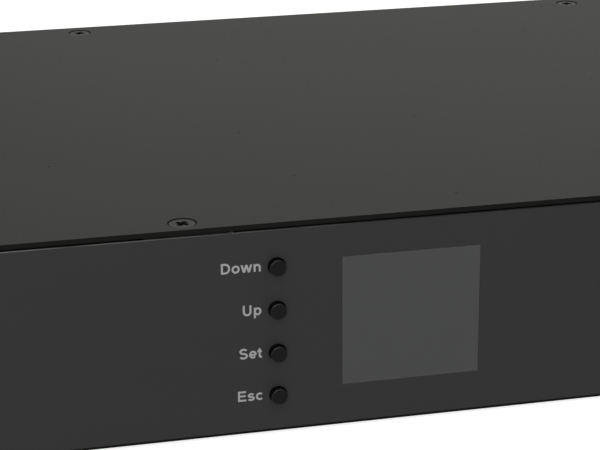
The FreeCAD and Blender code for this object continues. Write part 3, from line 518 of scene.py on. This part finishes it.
EDGE_LOOKS_UP = 0.5
film = Finish("front_film", Specular_IOR_Level=FILM_GLOSS)
weave = film.noise(WEAVE_PER_METRE)
cloud = film.noise(FILM_CLOUDS_PER_METRE, FILM_CLOUD_DETAIL)
film.colour(film.tint(FILM_COLOUR, 1 + weave.swing(FILM_SHADES) + cloud.swing(FILM_SHADES)))
film.roughness(FILM_ROUGHNESS + weave.swing(WEAVE_ROUGHENS))
film.relief(weave, WEAVE_HEIGHT)
# The film's upward cut edges get a painted highlight: a paler colour in broken patches, full towards the
# left and fading out to the right.
film_edge = Finish("film_cut_edge", Roughness=FILM_EDGE_ROUGHNESS)
across = film_edge.place.add("ShaderNodeSeparateXYZ", {}, {"Vector": film_edge.place}, "X")
highlight_from = HIGHLIGHT_LEFT_OF + HIGHLIGHT_FADE
highlight_full_at = HIGHLIGHT_LEFT_OF - HIGHLIGHT_FADE
reach = {"Value": across, "From Min": highlight_from, "From Max": highlight_full_at}
highlight_breaks = film_edge.noise(HIGHLIGHT_BREAKS_PER_METRE) * HIGHLIGHT_GAIN - HIGHLIGHT_CUT
highlight = across.add("ShaderNodeMapRange", {"clamp": True}, reach) * highlight_breaks
film_edge.colour(film_edge.blend(highlight, (*FILM_COLOUR, 1), EDGE_HIGHLIGHT_COLOUR))


def seat_window(piece):
    """Sets the window's corners in a piece a little higher, and its left side a little farther out."""
    low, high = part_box("display_window")
    for vertex in piece.data.vertices:
        spot = vertex.co
        beside = low.x - WINDOW_REACH < spot.x < high.x + WINDOW_REACH
        if beside and low.z - WINDOW_REACH < spot.z < high.z + WINDOW_REACH:
            spot.z += WINDOW_RAISE
            if spot.x < (low.x + high.x) / 2:
                spot.x -= WINDOW_WIDEN


panel = softened("front_overlay", FILM_EDGE)
seat_window(panel)
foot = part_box("front_overlay")[0].z + FOOT_BAND
for vertex in panel.data.vertices:
    if vertex.co.z < foot:
        vertex.co.z += FOOT_TRIM
    for name in KEY_NAMES:
        low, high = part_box(f"button_{name}")
        axis = Vector(((low.x + high.x) / 2, vertex.co.y, (low.z + high.z) / 2))
        if (vertex.co - axis).length < HOLE_REACH:
            vertex.co = axis + (vertex.co - axis) * HOLE_SHARE
dress(panel, "front_overlay", film.material)
second_coat(panel, film_edge.material, lambda face: face.normal.z > EDGE_LOOKS_UP)

# Key names: four short words, screen printed on the film in light grey beside their buttons. The letters
# are plain bold sans strokes, drawn in shares of the type size and joined into one sheet of ink a word.
INK_COLOUR = (0.129, 0.129, 0.1278)
INK_ROUGHNESS = 0.6
INK_SHADES = 0.2
MESH_MARKS_PER_METRE = 9000
TYPE_SIZE = 3.0 * MM
STROKE_SHARE = 0.13
LEGEND_NAMES = [name.capitalize() for name in KEY_NAMES]
LEGEND_END = -53.4 * MM
LEGEND_DROP = 0.76 * MM
INK_GAUGE = 0.012 * MM
ARC_STEP = 12
S_OPENS_AT = 22
JOIN_WITHIN = 1e-5
INSIDE_ONLY = 1


def bend(across, up, wide, tall, start, end):
    """Points of an elliptic arc, in shares of the type size and degrees."""
    count = max(2, round(abs(end - start) / ARC_STEP))
    angles = [math.radians(start + (end - start) * step / count) for step in range(count + 1)]
    return [(across + wide * math.cos(angle), up + tall * math.sin(angle)) for angle in angles]


def double_bend(across, low, high, waist, upper, lower):
    """The stroke of the letter S between two heights, through its waist."""
    top = bend(across, (waist + high) / 2, upper, (high - waist) / 2, S_OPENS_AT, 270)
    bottom = bend(across, (low + waist) / 2, lower, (waist - low) / 2, 90, S_OPENS_AT - 180)
    return top + bottom[1:]


# Each letter has the pen's advance and its strokes, in shares of the type size.
LETTERS = {
    "D": (0.722, [[(0.145, 0), (0.145, 0.716)],
                  [(0.145, 0.648), (0.345, 0.648), *bend(0.345, 0.358, 0.265, 0.29, 75, -75),
                   (0.345, 0.068), (0.145, 0.068)]]),
    "E": (0.667, [[(0.145, 0), (0.145, 0.716)], [(0.145, 0.652), (0.61, 0.652)],
                  [(0.145, 0.372), (0.58, 0.372)], [(0.145, 0.064), (0.625, 0.064)]]),
    "S": (0.667, [double_bend(0.333, 0.052, 0.664, 0.366, 0.2, 0.215)]),
    "U": (0.722, [[(0.145, 0.716), *bend(0.361, 0.27, 0.216, 0.218, 180, 360), (0.577, 0.716)]]),
    "c": (0.556, [bend(0.293, 0.26, 0.188, 0.205, 42, 318)]),
    "e": (0.556, [[(0.1, 0.243), (0.466, 0.243)], bend(0.282, 0.26, 0.186, 0.205, -5, 318)]),
    "n": (0.611, [[(0.14, 0), (0.14, 0.519)],
                  [*bend(0.307, 0.29, 0.167, 0.165, 180, 0), (0.474, 0)]]),
    "o": (0.611, [bend(0.305, 0.26, 0.197, 0.205, 0, 360)]),
    "p": (0.611, [[(0.14, 0.519), (0.14, -0.2)], bend(0.32, 0.26, 0.182, 0.205, 0, 360)]),
    "s": (0.556, [double_bend(0.278, 0.052, 0.468, 0.262, 0.158, 0.172)]),
    "t": (0.333, [[(0.165, 0.66), *bend(0.275, 0.165, 0.11, 0.11, 180, 270), (0.32, 0.055)],
                  [(0.02, 0.462), (0.31, 0.462)]]),
    "w": (0.778, [[(0.078, 0.519), (0.228, 0)], [(0.228, 0), (0.389, 0.519)],
                  [(0.389, 0.519), (0.55, 0)], [(0.55, 0), (0.7, 0.519)]]),
}


def band(points, half):
    """The right and left corners of a stroke at each of its points: mitred at its bends, and cut level or
    plumb at the ends of a straight stroke."""
    points = [Vector(point) for point in points]
    steps = [(after - before).normalized() for before, after in zip(points, points[1:])]
    if len(steps) == 1:
        along = steps[0]
        upright = abs(along.y) > abs(along.x)
        reach = Vector((-half / along.y, 0)) if upright else Vector((0, half / along.x))
        return [(point - reach, point + reach) for point in points]
    closed = (points[0] - points[-1]).length < half
    entries = [steps[-1 if closed else 0], *steps]
    leaves = [*steps, steps[0 if closed else -1]]
    sides = []
    for point, entry, leave in zip(points, entries, leaves):
        normal = Vector((-entry.y - leave.y, entry.x + leave.x)).normalized()
        reach = normal * (half / normal.dot(Vector((-entry.y, entry.x))))
        sides.append((point - reach, point + reach))
    return sides


def word_sheet(word):
    """Points and faces of a word, its strokes joined into one flat sheet that starts at the pen's rest."""
    corners = []
    quads = []
    pen = 0
    for letter in word:
        advance, strokes = LETTERS[letter]
        for points in strokes:
            sides = band([(pen + across, up) for across, up in points], STROKE_SHARE / 2)
            for (right, left), (next_right, next_left) in zip(sides, sides[1:]):
                quads.append(range(len(corners), len(corners) + 4))
                corners.extend((right, next_right, next_left, left))
        pen += advance
    points, _, faces, _, _, sources = delaunay_2d_cdt(corners, [], quads, INSIDE_ONLY, JOIN_WITHIN)
    return points, [face for face, inside in zip(faces, sources) if inside]


ink = Finish("legend_ink", Roughness=INK_ROUGHNESS)
mesh_marks = ink.noise(MESH_MARKS_PER_METRE)
ink.colour(ink.tint(INK_COLOUR, 1 + mesh_marks.swing(INK_SHADES)))
film_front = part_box("front_overlay")[0].y
for word in LEGEND_NAMES:
    points, faces = word_sheet(word)
    low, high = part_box(f"button_{word.lower()}")
    shift = LEGEND_END - TYPE_SIZE * max(point.x for point in points)
    baseline = (low.z + high.z) / 2 - LEGEND_DROP
    mesh = bpy.data.meshes.new(f"legend_{word.lower()}")
    mesh.from_pydata([
        (shift + point.x * TYPE_SIZE, film_front, baseline + point.y * TYPE_SIZE) for point in points
    ], [], faces)
    legend = new_piece(f"legend_{word.lower()}", mesh)
    body = legend.modifiers.new("ink", "SOLIDIFY")
    body.thickness = INK_GAUGE
    body.offset = 1
    plain(legend)
    legend.data.materials.append(ink.material)
    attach(legend, UNIT)

# Window: a smoked plastic pane, cut to the film's opening and set flush in it, over the screen. Its cut
# edges are barely broken.
WINDOW_COLOUR = (0.0094, 0.0098, 0.0098)
WINDOW_ALPHA = 0.9
WINDOW_ROUGHNESS = 0.16
WINDOW_EDGE = 0.04 * MM
WINDOW_CLOUDS_PER_METRE = 40
pane = Finish("window_pane", Alpha=WINDOW_ALPHA, Roughness=WINDOW_ROUGHNESS)
cloud = pane.noise(WINDOW_CLOUDS_PER_METRE)
pane.colour(pane.tint(WINDOW_COLOUR, 1 + cloud.swing(CLOUD_SHADES)))
window = softened("display_window", WINDOW_EDGE)
seat_window(window)
dress(window, "display_window", pane.material)

# Buttons: four round stems, moulded in black plastic, that stand proud of the film, each in its own hole.
# The face is matt, and the rounded rim is left smooth by the mould.
BUTTON_COLOUR = (0.0014, 0.0014, 0.0014)
BUTTON_GLOSS = 0.075
BUTTON_RIM = 0.14 * MM
BUTTON_EASE = 0.1 * MM
BUTTON_ROUGHNESS = 0.4
RIM_GLOSS = 0.22
RIM_ROUGHNESS = 0.22
RIM_STEP = 15
RIM_SLOPES = (0.1, 0.98)
ROUND_SEGMENTS = 64


def lathe(shape, profile):
    """Rings of a turned form about the upright axis, joined in order, from (radius, height) points."""
    rings = []
    spokes = [2 * math.pi * index / ROUND_SEGMENTS for index in range(ROUND_SEGMENTS)]
    for radius, up in profile:
        rings.append([shape.verts.new((radius * math.cos(a), radius * math.sin(a), up)) for a in spokes])
    for one, other in zip(rings, rings[1:]):
        for index in range(ROUND_SEGMENTS):
            following = (index + 1) % ROUND_SEGMENTS
            shape.faces.new((one[index], other[index], other[following], one[following]))
    return rings


button_black = moulding("button_black", BUTTON_COLOUR, BUTTON_ROUGHNESS, BUTTON_GLOSS)
button_rim = moulding("button_rim", BUTTON_COLOUR, RIM_ROUGHNESS, RIM_GLOSS)
front_turn = Matrix.Rotation(math.radians(90), 4, "X")
for word in LEGEND_NAMES:
    node = f"button_{word.lower()}"
    low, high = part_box(node)
    radius = (high.x - low.x) / 2 - BUTTON_EASE
    length = high.y - low.y
    rim = []
    for angle in range(0, 91, RIM_STEP):
        inward = BUTTON_RIM * (1 - math.sin(math.radians(angle)))
        down = BUTTON_RIM * (1 - math.cos(math.radians(angle)))
        rim.append((radius - inward, -down))
    shape = bmesh.new()
    rings = lathe(shape, [*rim, (radius, -length)])
    shape.faces.new(rings[0])
    shape.faces.new(rings[-1])
    bmesh.ops.recalc_face_normals(shape, faces=shape.faces)
    mesh = bpy.data.meshes.new(node)
    shape.to_mesh(mesh)
    shape.free()
    middle = ((low.x + high.x) / 2, low.y, (low.z + high.z) / 2)
    mesh.transform(Matrix.Translation(middle) @ front_turn)
    button = new_piece(f"{node}_cap", mesh)
    dress(button, node, button_black, f"{node}_body")
    second_coat(button, button_rim, lambda face: RIM_SLOPES[0] < -face.normal.y < RIM_SLOPES[1])
    for polygon in mesh.polygons:
        polygon.use_smooth = len(polygon.vertices) == 4

# Cover: a flat lid cut from the same sheet as the tray and coated with it. Its countersunk holes run along
# the front and back edges.
COVER_EDGE = 0.18 * MM
LEVEL_FROM = 0.9
cover = softened("top_cover", COVER_EDGE)
dress(cover, "top_cover", case_paint)
# Faces of the lid that do not look up (its cut edges, their rounding and its countersinks) take the
# darker, matt copy of the coat as painted shade.
second_coat(cover, shade_paint, lambda face: face.normal.z < LEVEL_FROM)

# Cover screws: countersunk screws with a cross recess, headed from steel wire and blackened, driven home
# to just below the cover's face. Each was driven by hand, so its cross stands at its own angle.
SCREW_SEAT = 5.5 * MM
SCREW_HEAD = 5.3 * MM
SCREW_SHANK = 2.8 * MM
SCREW_CONE = 0.85 * MM
SCREW_LENGTH = 5.8 * MM
SCREW_RIM = 0.1 * MM
SCREW_SINK = 0.15 * MM
SCREW_COLUMNS = 4
SCREW_ROWS = 2
SCREW_SEED = 5
SCREW_TURN = math.pi / 2
CROSS_REACH = 1.35 * MM
CROSS_HALF_WIDTH = 0.55 * MM
CROSS_FLOOR_REACH = 0.8 * MM
CROSS_FLOOR_HALF_WIDTH = 0.3 * MM
CROSS_DEPTH = 1.5 * MM
SCREW_COLOUR = (0.011, 0.011, 0.011)
SCREW_ROUGHNESS = 0.42


def cross(shape, half, reach, up):
    """The twelve corners of a cross at one height."""
    corners = []
    for quarter in range(4):
        turn = Matrix.Rotation(math.pi / 2 * quarter, 3, "Z")
        for point in ((half, half), (half, reach), (-half, reach)):
            corners.append(shape.verts.new(turn @ Vector((*point, up))))
    return corners


def cross_screw(name):
    """A countersunk screw whose head has a tapered cross recess."""
    shape = bmesh.new()
    head = SCREW_HEAD / 2
    shank = SCREW_SHANK / 2
    rings = lathe(shape, [
        (head - SCREW_RIM, 0), (head, -SCREW_RIM), (shank, -SCREW_CONE), (shank, -SCREW_LENGTH),
    ])
    shape.faces.new(rings[-1])
    mouth = cross(shape, CROSS_HALF_WIDTH, CROSS_REACH, 0)
    floor = cross(shape, CROSS_FLOOR_HALF_WIDTH, CROSS_FLOOR_REACH, -CROSS_DEPTH)
    for index in range(len(mouth)):
        following = (index + 1) % len(mouth)
        shape.faces.new((mouth[index], mouth[following], floor[following], floor[index]))
    shape.faces.new(floor)
    edges = [edge for edge in shape.edges if len(edge.link_faces) == 1]
    bmesh.ops.triangle_fill(shape, use_beauty=True, edges=edges)
    bmesh.ops.recalc_face_normals(shape, faces=shape.faces)
    mesh = bpy.data.meshes.new(name)
    shape.to_mesh(mesh)
    shape.free()
    return mesh


screw_black = moulding("screw_black", SCREW_COLOUR, SCREW_ROUGHNESS, PAINT_GLOSS)
low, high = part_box("cover_screws")
screws = set_out(
    new_piece("cover_screw_heads", cross_screw("cover_screw_heads")),
    Columns=SCREW_COLUMNS, Rows=SCREW_ROWS, Seed=SCREW_SEED, Turn=SCREW_TURN, Material=screw_black,
    Width=high.x - low.x - SCREW_SEAT, Depth=high.y - low.y - SCREW_SEAT,
    Centre=((low.x + high.x) / 2, (low.y + high.y) / 2, high.z - SCREW_SINK),
)
dress(screws, "cover_screws", screw_black)
# The recess, the rim, the cone and the shank below the head's face take the darker, matt copy of the coat:
# painted shade in the recess and the countersink gap.
head_level = high.z - SCREW_SINK - SCREW_RIM / 4
second_coat(screws, shade_paint, lambda face: face.center.z < head_level)

# Floor, light and camera: a plain pale floor that glows softly near the case, a large soft light above
# the front, a smaller one low and farther out, a weak panel behind that the cover mirrors, and the view of
# the photograph.
FLOOR_SIDE = 8.0
FLOOR_DROP = 0.05 * MM
FLOOR_COLOUR = (0.93, 0.93, 0.93)
FLOOR_ROUGHNESS = 0.9
GLOW_COLOUR = (0.75, 0.75, 0.75)
GLOW_SHARE = 0.65
GLOW_WITHIN = 0.6
GLOW_FADES_AT = 2.5
WHITE_LIGHT = (1, 1, 1)
KEY_LIGHT_PLACE = (-0.1, -0.9, 1.5)
KEY_LIGHT_AIM = (0, -0.2, 0)
KEY_LIGHT_SIZE = (2.4, 1.6)
KEY_LIGHT_POWER = 42
FRONT_PLACE = (-0.45, -2.0, 0.45)
FRONT_AIM = (-0.05, -0.08, 0.02)
FRONT_SIZE = (1.0, 1.0)
FRONT_POWER = 30
PANEL_PLACE = (0.9, 1.45, 0.5)
PANEL_AIM = (0, 0, 0.05)
PANEL_SIZE = (2.4, 1.0)
PANEL_POWER = 3.1
PANEL_COLOUR = (1, 1, 0.88)
STUDIO_COLOUR = (1, 1, 1, 1)
STUDIO_STRENGTH = 0.45
CAMERA_PLACE = (-124.978 * MM, -427.762 * MM, 166.457 * MM)
CAMERA_AZIMUTH = math.radians(13.0)
CAMERA_ELEVATION = math.radians(19.307)
CAMERA_ROLL = math.radians(-0.412)
CAMERA_LENS = 118.253
CAMERA_SENSOR = 36
floor_mesh = bpy.data.meshes.new("floor")
half = FLOOR_SIDE / 2
floor_plan = ((-half, -half), (half, -half), (half, half), (-half, half))
floor_corners = [(across, along, -FLOOR_DROP) for across, along in floor_plan]
floor_mesh.from_pydata(floor_corners, [], [(0, 1, 2, 3)])
floor = new_piece("floor", floor_mesh)
floor_white = Finish("floor_white", Roughness=FLOOR_ROUGHNESS, Emission_Strength=1.0)
place = floor_white.place
distance = place.add("ShaderNodeVectorMath", {"operation": "LENGTH"}, {0: place}, "Value")
fade = {"Value": distance, "From Min": GLOW_FADES_AT, "From Max": GLOW_WITHIN}
near = distance.add("ShaderNodeMapRange", {"interpolation_type": "SMOOTHSTEP"}, fade)
floor_white.colour(floor_white.tint(FLOOR_COLOUR, 1 - near * GLOW_SHARE))
floor_white.glow(floor_white.tint(GLOW_COLOUR, near))
floor_mesh.materials.append(floor_white.material)


def soft_light(name, place, aim, size, power, colour):
    """An area light that the camera does not see, turned towards its aim."""
    data = bpy.data.lights.new(name, "AREA")
    data.shape = "RECTANGLE"
    data.size, data.size_y = size
    data.energy = power
    data.color = colour
    light = new_piece(name, data)
    light.visible_camera = False
    light.location = place
    light.rotation_euler = (Vector(aim) - Vector(place)).to_track_quat("-Z", "Y").to_euler()


soft_light("key", KEY_LIGHT_PLACE, KEY_LIGHT_AIM, KEY_LIGHT_SIZE, KEY_LIGHT_POWER, WHITE_LIGHT)
soft_light("back_panel", PANEL_PLACE, PANEL_AIM, PANEL_SIZE, PANEL_POWER, PANEL_COLOUR)
soft_light("front", FRONT_PLACE, FRONT_AIM, FRONT_SIZE, FRONT_POWER, WHITE_LIGHT)
world = bpy.data.worlds.new("studio")
world.use_nodes = True
backdrop = world.node_tree.nodes["Background"]
backdrop.inputs["Color"].default_value = STUDIO_COLOUR
backdrop.inputs["Strength"].default_value = STUDIO_STRENGTH
bpy.context.scene.world = world
bpy.context.scene.view_settings.view_transform = "Standard"

camera_data = bpy.data.cameras.new("camera")
camera_data.lens = CAMERA_LENS
camera_data.sensor_width = CAMERA_SENSOR
camera_data.sensor_fit = "HORIZONTAL"
camera = new_piece("camera", camera_data)
ahead = Vector((
    math.sin(CAMERA_AZIMUTH) * math.cos(CAMERA_ELEVATION),
    math.cos(CAMERA_AZIMUTH) * math.cos(CAMERA_ELEVATION),
    -math.sin(CAMERA_ELEVATION),
))
level = Vector((math.cos(CAMERA_AZIMUTH), -math.sin(CAMERA_AZIMUTH), 0))
upward = level.cross(ahead)
right = level * math.cos(CAMERA_ROLL) + upward * math.sin(CAMERA_ROLL)
top = upward * math.cos(CAMERA_ROLL) - level * math.sin(CAMERA_ROLL)
turn = Matrix((right, top, -ahead)).transposed().to_4x4()
camera.matrix_world = Matrix.Translation(CAMERA_PLACE) @ turn
bpy.context.scene.camera = camera
